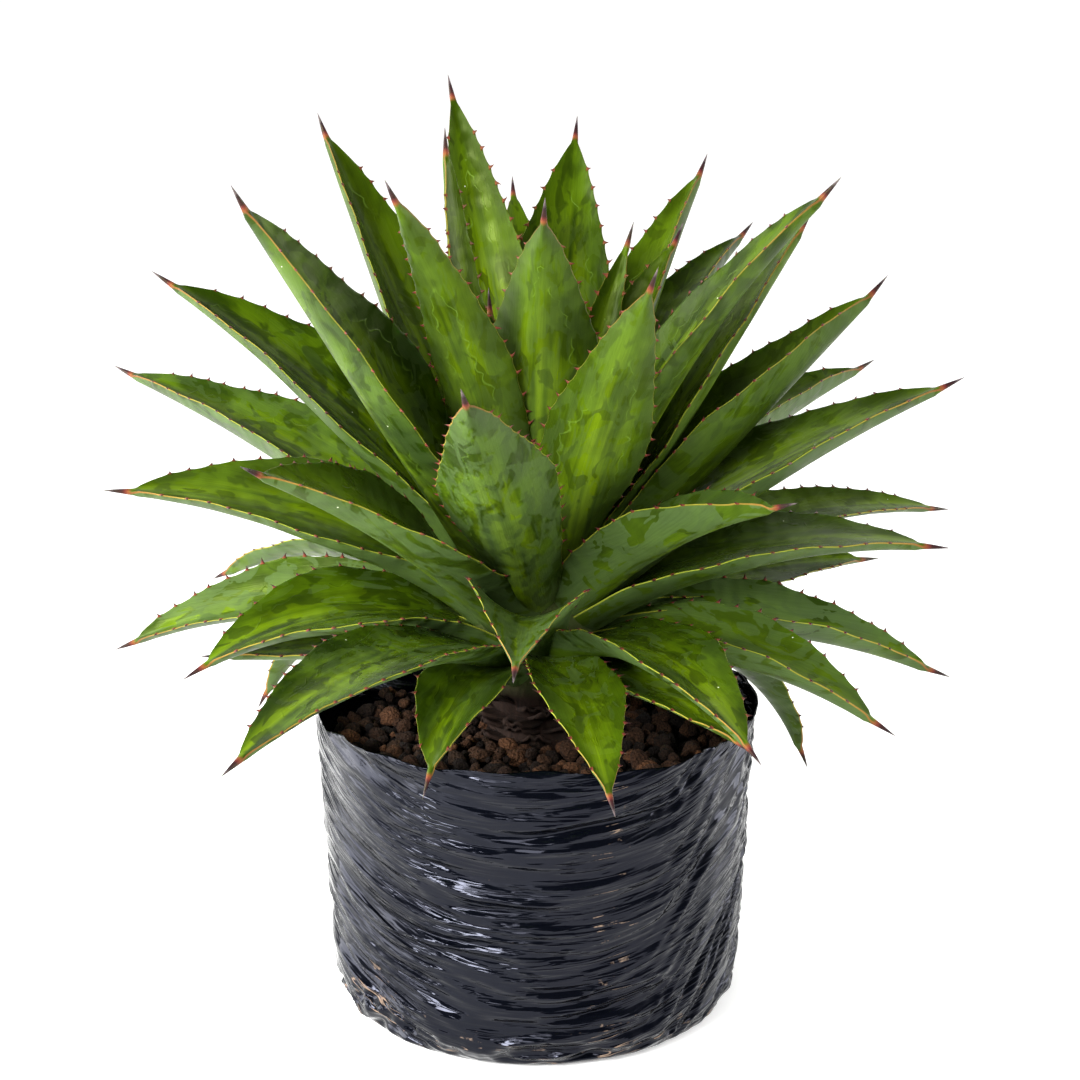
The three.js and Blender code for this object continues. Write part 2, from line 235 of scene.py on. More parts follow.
bag_r = bag_radius(np.clip(bag_z, 0, BAG_HEIGHT))
bag_r = np.where(on_foot, BAG_FOOT_R * np.clip(row_share / FOOT_SHARE, 0, 1), bag_r)

# long creases over the whole wall, and short ones where the film is slack, all drifting up and
# down; each kind has its height, and then its length, its width and a seed
mid_x, mid_y = BAG_MID_R * np.cos(bag_angle), BAG_MID_R * np.sin(bag_angle)
drift = 7 * smooth_noise(mid_x / 42, mid_y / 42, bag_z / 30)
slack = ease(0.5 + 1.6 * smooth_noise(mid_x / 28 + 9, mid_y / 28, bag_z / 22))
crease = (1.1 * film_ridge(mid_x, mid_y, bag_z + drift, 90, 17, 3.1)
          + 1.2 * film_ridge(mid_x, mid_y, bag_z + drift, 70, 8, 8.7)
          + 0.95 * slack * film_ridge(mid_x, mid_y, bag_z + 0.6 * drift, 46, 4.6, 5.2))
# on the right the film was dragged upwards, which left steep creases
right_arc = BAG_MID_R * ((bag_angle + math.pi / 2 + math.pi) % (2 * math.pi) - math.pi)
steep = ease((right_arc - STEEP_FROM) / 35) * ease((STEEP_TO - right_arc) / 50)
steep_level = bag_z + drift - STEEP_SLOPE * right_arc
steep_noise = smooth_noise(right_arc / STEEP_LONG, steep_level / STEEP_WIDE, np.full_like(bag_z, 0.5))
crease = crease * (1 - 0.65 * steep) + 1.1 * steep * (1 - 4 * np.hypot(steep_noise, STEEP_CREST))
# the foot is crumpled, and the spare corner is gathered there and folded flat
crumple = 1 - 4 * np.abs(smooth_noise(mid_x / 11, mid_y / 11, bag_z / 8))
crease = crease + 1.2 * crumple * np.exp(-(bag_z / 13) ** 2)
spare_corner = np.exp(-((bag_angle - SPARE_ANGLE) / 0.2) ** 2 - ((bag_z - 12) / 15) ** 2)
spare_lip = np.exp(-((bag_z - 13 - 40 * (bag_angle - SPARE_ANGLE)) / 3.5) ** 2)
crease = crease + spare_corner * (3.2 * spare_lip - 3.4 + 1.6 * crumple)
tuck = 2.4 * np.exp(-((bag_z - 6) / 9) ** 2)
pleats = np.abs(np.sin(PLEATS * bag_angle + 1.3 * np.sin(3 * bag_angle))) ** 3 - 0.3
off_foot = ease(bag_z / 9) * np.where(on_foot, 0, 1)
rim_sway = 0.84 * np.exp(-((bag_z - BAG_HEIGHT) / 4) ** 2) * np.sin(5 * bag_angle + 0.6)
bag_r = bag_r + off_foot * (crease - 0.4 - tuck * np.clip(pleats, 0, 1)) + rim_sway
bag_r = bag_r - down_inside ** 0.5 * BAG_FILM - np.where(down_inside > 0, 0.2, 0)
for vert, angle, z, r in zip(bag_verts, bag_angle, bag_z, bag_r):
    vert.co = (r * math.cos(angle) * MM, r * math.sin(angle) * MM, max(0, z) * MM)
bmesh.ops.remove_doubles(bag_bm, verts=bag_bm.verts, dist=1e-6)

# Blown polyethylene film: near black and glossy, so its colour is that of what it mirrors. Finer
# creases, under 4 mm wide, follow the same tension lines where the film is slack. All in mm.
FINE_CREASES = ((48, 3.6, 0.3), (18, 1.8, 0.5))      # length, width and how much they wander
SLACK_PATCH, GRIME_SPOT = 45.5, 7.7

film, tree, shader = new_material("black_polyethylene_film")
place = add_node(tree, "TexCoord", out="Object")
spot = add_node(tree, "SeparateXYZ", (place,)).node.outputs
aside = add_node(tree, "Math", (spot["X"],), operation="ABSOLUTE")
aside = add_node(tree, "Math", (aside, BAG_MID_R * MM), operation="DIVIDE")
lifted = add_node(tree, "Math", (aside, LIFT_POWER), operation="POWER")
lifted = add_node(tree, "Math", (lifted, LIFT * MM), operation="MULTIPLY")
level = add_node(tree, "Math", (spot["Z"], lifted), operation="SUBTRACT")
tension = add_node(tree, "CombineXYZ", (spot["X"], spot["Y"], level))
fine_creases = []
for long, wide, twist in FINE_CREASES:
    scale = [1 / (size * MM) for size in (long, long, wide)]
    spread = add_node(tree, "Mapping", {"Vector": tension, "Scale": scale})
    ripple = add_node(tree, "TexNoise", {"Vector": spread, "Scale": 1.0, "Detail": 1.0, "Distortion": twist})
    centred = add_node(tree, "Math", (ripple, 0.5), operation="SUBTRACT")
    fine_creases.append(add_node(tree, "Math", (centred,), operation="ABSOLUTE"))
cloud = add_node(tree, "TexNoise", {"Vector": place, "Scale": 1 / (SLACK_PATCH * MM), "Detail": 3.0})
looseness = add_node(tree, "MapRange", (cloud, 0.42, 0.6, 0.25, 1.0))
finest = add_node(tree, "Math", (fine_creases[1], 0.3), operation="MULTIPLY")
fold = add_node(tree, "Math", (fine_creases[0], finest), operation="ADD")
fold = add_node(tree, "Math", (fold, looseness), operation="MULTIPLY")
bump = add_node(tree, "Bump", {"Height": fold, "Strength": 1.0, "Distance": 2.8 * MM}, invert=True)
tree.links.new(bump, shader.inputs["Normal"])

# Pale lines along the creases: soil caught round the foot and on the spare corner, and a band down
# the front, right of the middle, which is painted reflection of the crease crests. Grime breaks it up.
CREST_SHEEN_BAND_X, CREST_SHEEN_BAND_HALF, SOIL_FOOT = 34, 16, 35
SPARE_CORNER = Vector((-78, -58, 18))
beside = add_node(tree, "Math", (spot["X"], CREST_SHEEN_BAND_X * MM), operation="SUBTRACT")
beside = add_node(tree, "Math", (beside,), operation="ABSOLUTE")
# this band of pale crease lines is painted reflection of the crests
on_crest_sheen_band = add_node(tree, "MapRange", (beside, 0.0, CREST_SHEEN_BAND_HALF * MM, 0.2, 0.0))
near_foot = add_node(tree, "MapRange", (spot["Z"], 0.0, SOIL_FOOT * MM, 0.2, 0.0))
from_corner = add_node(tree, "VectorMath", (place, SPARE_CORNER * MM), operation="DISTANCE")
on_corner = add_node(tree, "MapRange", (from_corner, 12 * MM, 26 * MM, 0.25, 0.0))
grime_spread = {"Vector": place, "Scale": 1 / (GRIME_SPOT * MM), "Detail": 4.0, "Roughness": 0.6}
grime = add_node(tree, "TexNoise", grime_spread)
dust_and_sheen_area = on_crest_sheen_band
for more in (near_foot, on_corner, grime):
    dust_and_sheen_area = add_node(tree, "Math", (dust_and_sheen_area, more), operation="ADD")
dust_and_sheen_area = add_node(tree, "MapRange", (dust_and_sheen_area, 0.69, 0.8))
in_crease = add_node(tree, "MapRange", (fine_creases[0], 0.02, 0.006))
dust_and_crest_sheen = add_node(tree, "Math", (dust_and_sheen_area, in_crease), operation="MULTIPLY")
dust_and_crest_sheen = add_node(tree, "Math", (dust_and_crest_sheen, 0.8), operation="MULTIPLY")
# the pale colour is soil at the foot and the spare corner, and painted reflection in the band right of the
# middle
film_colour = add_node(tree, "Mix", {0: dust_and_crest_sheen, 6: linear("#030408"), 7: linear("#84705f")}, data_type="RGBA")
tree.links.new(film_colour, shader.inputs["Base Color"])
haze = add_node(tree, "MapRange", (cloud, 0.4, 0.7, 0.08, 0.16))
film_rough = add_node(tree, "Math", (haze, dust_and_crest_sheen), operation="ADD")
tree.links.new(film_rough, shader.inputs["Roughness"])
shader.inputs["IOR"].default_value = 1.51
shader.inputs["Specular IOR Level"].default_value = 0.17
shader.inputs["Specular Tint"].default_value = linear("#e2e6ff")
add_piece("grow_bag_film", bag_bm, film, "bag_film", "grow_bag")


# ---------------------------------------------------------------- gravel
# Crushed scoria, 5 to 12 mm grains, dark brown to brick red, angular and full of pores. The
# grains lie two deep over a dark disc, and the lower grains and the disc are near black: painted shade in the
# gaps.
GRAVEL_TOP, GRAVEL_R, STEM_HOLE_R = 127.5, 96.0, 17.0
GRAIN_PITCH, GRAIN_R = 8.2, 4.7
GRAIN_SIZES = (0.5, 0.7, 0.85, 0.95, 1.1, 1.35)      # shares of GRAIN_R
GRAIN_GAPS = 0.12            # share of the upper grains that is left out
GRAIN_FACETS = 7
ROW_PITCH = 0.87 * GRAIN_PITCH
# how far each layer is moved over, in pitches, its height over the fill, and how light it is; the lower layer
# is near black, painted shade
GRAIN_LAYERS = ((0, -4.5, 0.05), (0.5, 0.6, 1.0))

grain_rng = random.Random(11)
grain_mesh = bpy.data.meshes.new("grain")
gravel_bm = bmesh.new()
gravel_bm.verts.layers.float.new("tint")
# a dark disc under the grains, painted shade that shows in the gaps between them
painted_shade_disc = bmesh.ops.create_circle(gravel_bm, cap_ends=True, segments=64, radius=(GRAVEL_R + 1) * MM)
bmesh.ops.translate(gravel_bm, verts=painted_shade_disc["verts"], vec=(0, 0, (GRAVEL_TOP - 6) * MM))


def random_way():
    return Vector([grain_rng.uniform(-1, 1) for _ in range(3)]).normalized()


def add_grain(centre, radius, lightness_with_painted_shade):
    """One grain: a squashed ball, broken off flat on its facets and roughened, of one tint."""
    turn = Matrix.Rotation(grain_rng.uniform(0, 6.3), 4, random_way())
    squash = Matrix.Diagonal((1, grain_rng.uniform(0.7, 1), grain_rng.uniform(0.6, 0.9), 1))
    grain_bm = bmesh.new()
    grain_tint = grain_bm.verts.layers.float.new("tint")
    bmesh.ops.create_icosphere(grain_bm, subdivisions=2, radius=radius,
                               matrix=Matrix.Translation(centre) @ turn @ squash)
    tint = grain_rng.random() * lightness_with_painted_shade
    facets = [random_way() for _ in range(GRAIN_FACETS)]
    for vert in grain_bm.verts:
        way = vert.co - centre
        push = 1.0
        for facet in facets:
            lean = way.normalized().dot(facet)
            if lean > 0.55:
                push = min(push, 0.62 / lean + 0.08)
        vert.co = centre + way * (push * grain_rng.uniform(0.9, 1.1))
        vert[grain_tint] = tint
    grain_bm.to_mesh(grain_mesh)
    grain_bm.free()
    gravel_bm.from_mesh(grain_mesh)


span = int(GRAVEL_R / GRAIN_PITCH) + 2
for shift, lift, lightness_with_painted_shade in GRAIN_LAYERS:
    for row in range(-span, span + 1):
        for col in range(-span, span + 1):
            x = (col + (0.5 if row % 2 else 0) + shift) * GRAIN_PITCH + grain_rng.uniform(-2, 2)
            y = (row + shift) * ROW_PITCH + grain_rng.uniform(-2, 2)
            size = GRAIN_R * grain_rng.choice(GRAIN_SIZES)
            if not STEM_HOLE_R <= math.hypot(x, y) <= GRAVEL_R - size * 0.7:
                continue
            if lift > 0 and grain_rng.random() < GRAIN_GAPS:
                continue
            z = GRAVEL_TOP + lift + grain_rng.uniform(-1.6, 1.6)
            add_grain(Vector((x, y, z)) * MM, size * MM, lightness_with_painted_shade)
bpy.data.meshes.remove(grain_mesh)

# Crushed scoria, a volcanic rock: dull, gritty and pitted with pores, each grain of one colour
# between near black and rust. Sizes in mm.
GRIT, PORE_GAP = 1.11, 1.43

scoria, tree, shader = new_material("crushed_volcanic_scoria")
place = add_node(tree, "TexCoord", out="Object")
tint = add_node(tree, "Attribute", out="Fac", attribute_name="tint")
# the near black end of the ramp also colours the lower grains and the disc, as painted shade
rock = add_node(tree, "ValToRGB", (tint,), stops=(
    (0.0, "#110b08"), (0.22, "#22150c"), (0.45, "#402a1b"), (0.6, "#2b1e14"), (0.78, "#5c3c26"),
    (0.88, "#261810"), (1.0, "#84583a")))
grit_spread = {"Vector": place, "Scale": 1 / (GRIT * MM), "Detail": 4.0, "Roughness": 0.7}
grit = add_node(tree, "TexNoise", grit_spread)
pores = add_node(tree, "TexVoronoi", {"Vector": place, "Scale": 1 / (PORE_GAP * MM)})
shade = add_node(tree, "MapRange", (grit, 0.3, 0.75, 0.35, 1.35))
rock = add_node(tree, "Mix", {0: 1.0, 6: rock, 7: shade}, data_type="RGBA", blend_type="MULTIPLY")
tree.links.new(rock, shader.inputs["Base Color"])
relief = add_node(tree, "Math", (grit, pores), operation="ADD")
bump = add_node(tree, "Bump", {"Height": relief, "Strength": 1.0, "Distance": 2 * MM})
tree.links.new(bump, shader.inputs["Normal"])
shader.inputs["Roughness"].default_value = 0.92
shader.inputs["Specular IOR Level"].default_value = 0.15
add_piece("scoria_gravel", gravel_bm, scoria, "volcanic_gravel", "gravel")


# ---------------------------------------------------------------- stem
# The short woody stem, hidden under the lowest leaves and wrapped in the brown papery bases
# of leaves that have dried off, one above another. It swells into the heart that bears the leaves.
STEM_FOOT_Z, HEART_TOP = 100, 216
STEM_R, HEART_R = 18.5, 28.5
STEM_HEIGHTS = (STEM_FOOT_Z, 140, 153, 168, 186, 204, HEART_TOP)
STEM_RADII = (STEM_R, STEM_R, 25, HEART_R, HEART_R, 22, 12)
# rings of dry bases: height, how many, and how far they reach
DRY_RINGS = ((131, 7, 9), (137, 8, 10), (143, 9, 12), (149, 9, 12))
DRY_THICK = 1.6

stem_bm = bmesh.new()
bmesh.ops.create_cone(stem_bm, cap_ends=True, segments=48, radius1=STEM_R * MM,
                      radius2=STEM_R * MM, depth=(HEART_TOP - STEM_FOOT_Z) * MM,
                      matrix=Matrix.Translation((0, 0, (HEART_TOP + STEM_FOOT_Z) / 2 * MM)))
uprights = [e for e in stem_bm.edges if abs(e.verts[0].co.z - e.verts[1].co.z) > 0.01]
bmesh.ops.subdivide_edges(stem_bm, edges=uprights, cuts=40)
for vert in stem_bm.verts:
    z, angle = vert.co.z / MM, math.atan2(vert.co.y, vert.co.x)
    r = np.interp(z, STEM_HEIGHTS, STEM_RADII)
    r += 0.5 * math.sin(z * 1.4 + 2 * math.sin(3 * angle)) + 0.3 * math.sin(13 * angle)
    vert.co.x, vert.co.y = r * math.cos(angle) * MM, r * math.sin(angle) * MM
dry_rng = random.Random(5)
for ring, (z, count, reach) in enumerate(DRY_RINGS):
    for k in range(count):
        angle = (k + 0.5 * ring + 0.3 * dry_rng.random()) * 2 * math.pi / count
        flake = bmesh.ops.create_grid(stem_bm, x_segments=8, y_segments=6, size=0.5)
        wide, droop = dry_rng.uniform(7, 10), dry_rng.uniform(-0.25, 0.35)
        long = reach * dry_rng.uniform(0.8, 1.3)
        for vert in flake["verts"]:
            u, v = vert.co.x + 0.5, vert.co.y * 2
            out = STEM_R - 3 + long * u
            side = v * wide * (1 - 0.55 * u ** 1.5)
            up = z + long * (droop * u + 0.25 * u * u) - 0.18 * abs(side) + 1.2 * math.sin(5 * v + k) * u
            vert.co = ((out * math.cos(angle) - side * math.sin(angle)) * MM,
                       (out * math.sin(angle) + side * math.cos(angle)) * MM, up * MM)
        faces = list(dict.fromkeys(f for v in flake["verts"] for f in v.link_faces))
        bmesh.ops.solidify(stem_bm, geom=faces, thickness=DRY_THICK * MM)

# Dried leaf base: matt brown fibre, darkened nearly to black as painted shade under the leaves,
# drawn 2.5 mm apart and 11 mm long so that it shows, turning to living green tissue where the leaves begin.
FIBRE_GAP, FIBRE_LONG = 2.5, 11.1
LIVING_FROM, LIVING_ABOVE = 152, 166

dried, tree, shader = new_material("dried_leaf_base_fibre")
place = add_node(tree, "TexCoord", out="Object")
scale = [1 / (size * MM) for size in (FIBRE_GAP, FIBRE_GAP, FIBRE_LONG)]
fibre_map = add_node(tree, "Mapping", {"Vector": place, "Scale": scale})
fibre = add_node(tree, "TexNoise", {"Vector": fibre_map, "Scale": 1.0, "Detail": 5.0, "Roughness": 0.7})
# dark brown dry fibre, darkened further as painted shade under the leaves
brown_with_painted_shade = add_node(tree, "ValToRGB", (fibre,), stops=((0.3, "#120c09"), (0.75, "#30211a")))
height = add_node(tree, "SeparateXYZ", (place,)).node.outputs["Z"]
living = add_node(tree, "MapRange", (height, LIVING_FROM * MM, LIVING_ABOVE * MM))
stem_colour = add_node(tree, "Mix", {0: living, 6: brown_with_painted_shade, 7: linear("#363f1a")}, data_type="RGBA")
tree.links.new(stem_colour, shader.inputs["Base Color"])
bump = add_node(tree, "Bump", {"Height": fibre, "Strength": 0.6, "Distance": 1 * MM})
tree.links.new(bump, shader.inputs["Normal"])
shader.inputs["Roughness"].default_value = 0.85
shader.inputs["Specular IOR Level"].default_value = 0.15
add_piece("stem_with_dry_bases", stem_bm, dried, "dry_stem", "stem")


# ---------------------------------------------------------------- leaves
# Fifty-two stiff, fleshy leaves clasp the stem one above another, the oldest low and bowed, the
# youngest upright. Each is channelled above and keeled below, drawn out to a horny spine, and
# edged with a thin horny line that carries small hooked teeth on low bumps.
ROOT_LOW, ROOT_HIGH, ROOT_R_OLD, ROOT_R_YOUNG = 166, 212, 22, 7
SPINE, SPINE_R = 15, 1.7
MARGIN_ROUND = 0.28          # half the thickness of the rounded margin
TIP_THICK = 3.2              # thickness where the spine begins
BLADE_STEPS, BLADE_AROUND = 150, 44
MIDRIB_STEPS = 400
TOOTH_PITCH, TOOTH_HIGH, TOOTH_BASE, TOOTH_THICK = 8.6, 2.6, 2.7, 1.2
TOOTH_SUNK = 0.6
BUMP_HIGH, BUMP_HALF = 0.6, 1.9      # the low bump under each tooth
TOOTHLESS_ROOT, TOOTHLESS_TIP = 0.2, 0.07    # shares of the leaf, the second one up to its spine
LEAF_PAGE, FACE_PAGE = 61, 23        # how far apart leaves and their faces lie in the patterns

# Oldest first: azimuth of the root (0 = +X, 90 = back), rise of the first stretch, change of
# rise to the tip, turn about the midrib, length with the spine, width, depth of the channel.
LEAVES = (
    (245, 26, -90, 1, 108, 43, 0.35),
    (78, 12, -48, 0, 165, 44, 0.25),
    (149, 23, -90, -6, 170, 43, 0.19),
    (307, 13, -33, 9, 133, 36, 0.23),
    (29, 9, -84, 5, 176, 44, 0.26),
    (112, 14, -50, 0, 175, 44, 0.25),
    (239, 26, -47, -4, 220, 50, 0.19),
    (281, 16, -49, -4, 154, 40, 0.24),
    (267, 44, -62, -4, 158, 54, 0.51),
    (301, 30, -65, -5, 167, 54, 0.28),
    (203, 34, -68, -9, 158, 63, 0.27),
    (56, 15, -47, 0, 188, 46, 0.29),
    (338, 14, -49, 1, 160, 52, 0.45),
    (168, 15, -44, -35, 196, 40, 0.6),
    (87, 21, -46, 0, 192, 46, 0.3),
    (8, 7, -35, 13, 188, 41, 0.6),
    (199, 0, 1, -13, 140, 40, 0.28),
    (115, 29, -43, 0, 198, 45, 0.3),
    (142, 23, -56, 13, 204, 40, 0.15),
    (29, 10, -18, 30, 180, 42, 0.34),
    (27, 27, -41, 20, 222, 37, 0.27),
    (72, 32, -34, 0, 205, 46, 0.3),
    (354, 33, -42, 4, 180, 66, 0.2),
    (185, 39, -40, -19, 194, 66, 0.36),
    (228, 41, -19, -22, 190, 66, 0.35),
    (102, 40, -26, 0, 208, 46, 0.33),
    (323, 46, -33, 1, 144, 53, 0.6),
    (149, 29, -17, -7, 250, 56, 0.56),
    (4, 39, -19, 6, 210, 65, 0.3),
    (40, 33, -22, -3, 229, 57, 0.6),
    (127, 48, -25, 0, 210, 46, 0.33),
    (164, 53, -27, -12, 227, 66, 0.42),
    (261, 39, -1, 14, 213, 54, 0.46),
    (51, 64, -40, -13, 225, 55, 0.48),
    (9, 43, 1, -3, 207, 66, 0.57),
    (358, 58, 0, 13, 209, 44, 0.22),
    (340, 71, -28, 20, 233, 58, 0.33),
    (216, 54, 0, -40, 240, 66, 0.48),
    (299, 62, -4, -33, 185, 46, 0.25),
    (51, 64, -14, -16, 221, 52, 0.55),
    (96, 50, 6, -2, 198, 41, 0.36),
    (141, 59, 0, 0, 238, 57, 0.49),
    (238, 74, -25, 20, 221, 36, 0.28),
    (95, 63, -21, 5, 211, 43, 0.35),
    (80, 68, -12, 1, 224, 62, 0.34),
    (116, 75, -13, -19, 235, 46, 0.56),
    (174, 77, 8, -40, 203, 22, 0.14),
    (273, 83, -27, -14, 192, 57, 0.43),
    (35, 70, -13, 11, 169, 40, 0.51),
    (40, 75, -7, 33, 160, 26, 0.46),
    (215, 83, -2, 0, 130, 27, 0.5),
    (330, 86, -2, 0, 112, 24, 0.55),
)


class Blade:
    """One leaf's midrib and the widths, thickness and channel along it, in mm.

    s is the share of the length from the root, and t runs across, from -1 to 1 at the margins.
    """

    def __init__(self, number, azimuth, rise, bend, roll, length, width, cup):
        self.number, self.length, self.width, self.cup = number, length, width, cup
        self.age = number / (len(LEAVES) - 1)
        self.blade_end = 1 - SPINE / length
        self.rng = np.random.default_rng(700 + number)
        self.sway = self.rng.uniform(0, 6.3, 6)
        az, reach = math.radians(azimuth), np.interp(self.age, [0, 1], [ROOT_R_OLD, ROOT_R_YOUNG])
        root_z = ROOT_LOW + (ROOT_HIGH - ROOT_LOW) * self.age
        root = np.array((reach * math.cos(az), reach * math.sin(az), root_z))

        def heading(s):
            rises = np.radians(rise + bend * s)
            level_part = np.cos(rises)
            return np.stack([level_part * math.cos(az), level_part * math.sin(az), np.sin(rises)], 1)

        self.stations = np.linspace(0, 1, MIDRIB_STEPS + 1)
        stride = heading(self.stations[:-1] + 0.5 / MIDRIB_STEPS) * (length / MIDRIB_STEPS)
        self.points = root + np.concatenate([np.zeros((1, 3)), np.cumsum(stride, 0)])
        self.along = heading(self.stations)
        level = np.array((-math.sin(az), math.cos(az), 0.0))
        top = np.cross(self.along, level)
        turn = (math.radians(roll) * ease(self.stations / 0.45))[:, None]
        self.across = level * np.cos(turn) + top * np.sin(turn)
        self.up = top * np.cos(turn) - level * np.sin(turn)

    def half_width(self, s):
        """Half the blade: narrower at the clasping root, widest half way, tapered to the spine."""
        neck = self.width / 2 * (0.6 + 0.4 * (0.5 - 0.5 * np.cos(np.pi * s / 0.5)))
        u = np.clip((s - 0.5) / (self.blade_end - 0.5), 0, 1)
        taper = SPINE_R + (self.width / 2 - SPINE_R) * (1 - u ** 1.55) * (1 - 0.12 * np.sin(np.pi * u))
        return np.where(s <= 0.5, neck, taper)

    def thickness(self, s):
        """Thickness at the midrib: a fifth of the width at the root, and thin at the spine."""
        u = np.clip(s / self.blade_end, 0, 1) ** 0.8
        return self.width * 0.2 * (1 - u) + TIP_THICK * u

    def frame_at(self, s):
        """Midrib point, sideways and upward directions at each station."""
        return [np.stack([np.interp(s, self.stations, rows[:, k]) for k in range(3)], 1)
                for rows in (self.points, self.across, self.up)]

    def place(self, s, t, under, beyond):
        """Points of the upper or the lower face, pushed out beyond the margin by some mm."""
        fade = np.clip((1 - s) / (1 - self.blade_end), 0, 1)
        spine = ease((s - self.blade_end + 0.012) / 0.03)
        w = np.where(s > self.blade_end, SPINE_R * fade ** 0.85, self.half_width(s))
        channel = self.cup * w * ease((1 - s) / 0.12) * (0.55 + 0.45 * ease(s / 0.25))
        rim = np.clip(w * (1 - np.abs(t)) / MARGIN_ROUND, 0, 1)
        rim = MARGIN_ROUND * np.sqrt(rim * (2 - rim)) * (1 - spine) * ease(s / 0.05)
        thick = self.thickness(s) * np.minimum(1, fade) * (1 - np.abs(t) ** 2.2) ** 0.8
        blade_h = channel * np.abs(t) ** 1.8 + np.where(under, -thick - rim, rim)
        spine_h = w * np.sqrt(np.clip(1 - t * t, 0, 1)) * np.where(under, -1, 1) - w * 0.75
        h = blade_h * (1 - spine) + spine_h * spine
        # each margin waves up and down a little, in its own way
        phase = np.where(t > 0, 0, 2)
        wave = 0.55 * np.sin(s * 17 + self.sway[0] + phase) + 0.35 * np.sin(s * 39 + self.sway[1] + phase)
        h = h + wave * np.abs(t) ** 3 * ease(s / 0.3) * ease((0.93 - s) / 0.2)
        x = w * t * (1 - 0.3 * self.cup ** 2 * (1 - spine)) + np.sign(t) * beyond
        midrib, across, up = self.frame_at(s)
        return midrib + across * x[:, None] + up * (h + beyond * self.cup)[:, None]

    def teeth(self):
        """Stations of the teeth on one margin: none near the root or the spine."""
        first, last = TOOTHLESS_ROOT * self.length, (self.blade_end - TOOTHLESS_TIP) * self.length
        count = max(6, int((last - first) / (TOOTH_PITCH * (0.75 + 0.25 * self.width / 55))))
        at = np.linspace(first, last, count) + self.rng.uniform(-1.6, 1.6, count)
        return at / self.length


def skin_layers(bm):
    """The layers that the skin's colours follow.

    blade: mm along and across the leaf, and a place in the patterns for each face of each leaf
    form: share along, share across, 1 underneath
    kind: age from 0, oldest, to 1, a chance for each leaf, how far up the horn of spine or tooth
    edge: mm to the margin. wax: 1 where a deep channel has kept the bloom whole
    """
    vectors, numbers = bm.verts.layers.float_vector, bm.verts.layers.float
    layers = {name: vectors.get(name) or vectors.new(name) for name in ("blade", "form", "kind")}
    layers.update({name: numbers.get(name) or numbers.new(name) for name in ("edge", "wax")})
    return layers


unit_tooth = bmesh.new()
skin_layers(unit_tooth)
bmesh.ops.create_cone(unit_tooth, cap_ends=False, segments=7, radius1=1, radius2=0.02, depth=1)
uprights = [e for e in unit_tooth.edges if abs(e.verts[0].co.z - e.verts[1].co.z) > 0.5]
bmesh.ops.subdivide_edges(unit_tooth, cuts=2, edges=uprights)
tooth_mesh = bpy.data.meshes.new("tooth")


def add_tooth(bm, blade, side, at, chance):
    """A small flattened horn, bent along the margin, its foot sunk in the bump under it."""
    station = np.array([at])
    foot = blade.place(station, np.array([float(side)]), np.array([False]), 0.35)[0]
    _, across, up = blade.frame_at(station)
    out = across[0] * side + up[0] * blade.cup * 1.2
    out /= np.linalg.norm(out)
    along = blade.along[int(at * MIDRIB_STEPS)]
    along = along - out * along.dot(out)
    along /= np.linalg.norm(along)
    flat = np.cross(along, out)
    high = TOOTH_HIGH * blade.rng.uniform(0.75, 1.2) * (1.1 - 0.6 * at * at)
    hook = blade.rng.normal(0.15, 0.35)
    tooth_bm = unit_tooth.copy()
    layers = skin_layers(tooth_bm)
    for vert in tooth_bm.verts:
        rise = vert.co.z + 0.5
        slim = 1 - 0.25 * math.sin(math.pi * rise)
        spot = (foot + along * (vert.co.x * TOOTH_BASE / 2 * slim + hook * rise ** 2 * high)
                + flat * (vert.co.y * TOOTH_THICK / 2 * slim)
                + out * (rise * (high + TOOTH_SUNK) - TOOTH_SUNK))
        vert.co = spot * MM
        vert[layers["blade"]] = (at * blade.length, 0, blade.number * LEAF_PAGE)
        vert[layers["form"]] = (at, 1, 0)
        vert[layers["kind"]] = (blade.age, chance, 0.43 + (0.36 - 0.24 * blade.age) * rise)
    tooth_bm.to_mesh(tooth_mesh)
    tooth_bm.free()
    bm.from_mesh(tooth_mesh)


def build_leaf(blade):
    """The leaf's skin as a closed, finely divided tube with its teeth set on the margins."""
    bm = bmesh.new()
    layers = skin_layers(bm)
    bmesh.ops.create_grid(bm, x_segments=BLADE_STEPS, y_segments=BLADE_AROUND, size=0.5)
    verts = list(bm.verts)
    s = np.array([v.co.x + 0.5 for v in verts]) ** 0.93
    round_section = np.array([v.co.y + 0.5 for v in verts]) * 2 * math.pi
    t = np.cos(round_section)
    under = np.sin(round_section) < -1e-6
    teeth = [(side, float(at)) for side in (+1, -1) for at in blade.teeth()]
    bump = np.zeros_like(s)
    for side, at in teeth:
        near = np.exp(-(((s - at) * blade.length) / BUMP_HALF) ** 2) * (np.sign(t) == side)
        bump = np.maximum(bump, near)
    w = np.where(s > blade.blade_end, SPINE_R, blade.half_width(s))
    edge = w * (1 - np.abs(t))
    spots = blade.place(s, t, under, BUMP_HIGH * bump * np.exp(-(edge / 2.0) ** 2))
    page = blade.number * LEAF_PAGE + under * FACE_PAGE
    chance = blade.rng.random()
    horn = np.clip((s - blade.blade_end + 0.015) / (1 - blade.blade_end), 0, 1)
    wax = min(1, max(0, (blade.cup - 0.32) / 0.2))
    for k, vert in enumerate(verts):
        vert.co = spots[k] * MM
        vert[layers["blade"]] = (s[k] * blade.length, w[k] * t[k], page[k])
        vert[layers["form"]] = (s[k], abs(t[k]), 1.0 if under[k] else 0.0)
        vert[layers["kind"]] = (blade.age, chance, horn[k])
        vert[layers["edge"]] = edge[k]
        vert[layers["wax"]] = wax
    bmesh.ops.remove_doubles(bm, verts=bm.verts, dist=2e-6)
    bmesh.ops.holes_fill(bm, edges=[e for e in bm.edges if e.is_boundary], sides=0)
    for side, at in teeth:
        add_tooth(bm, blade, side, at, chance)
    return bm


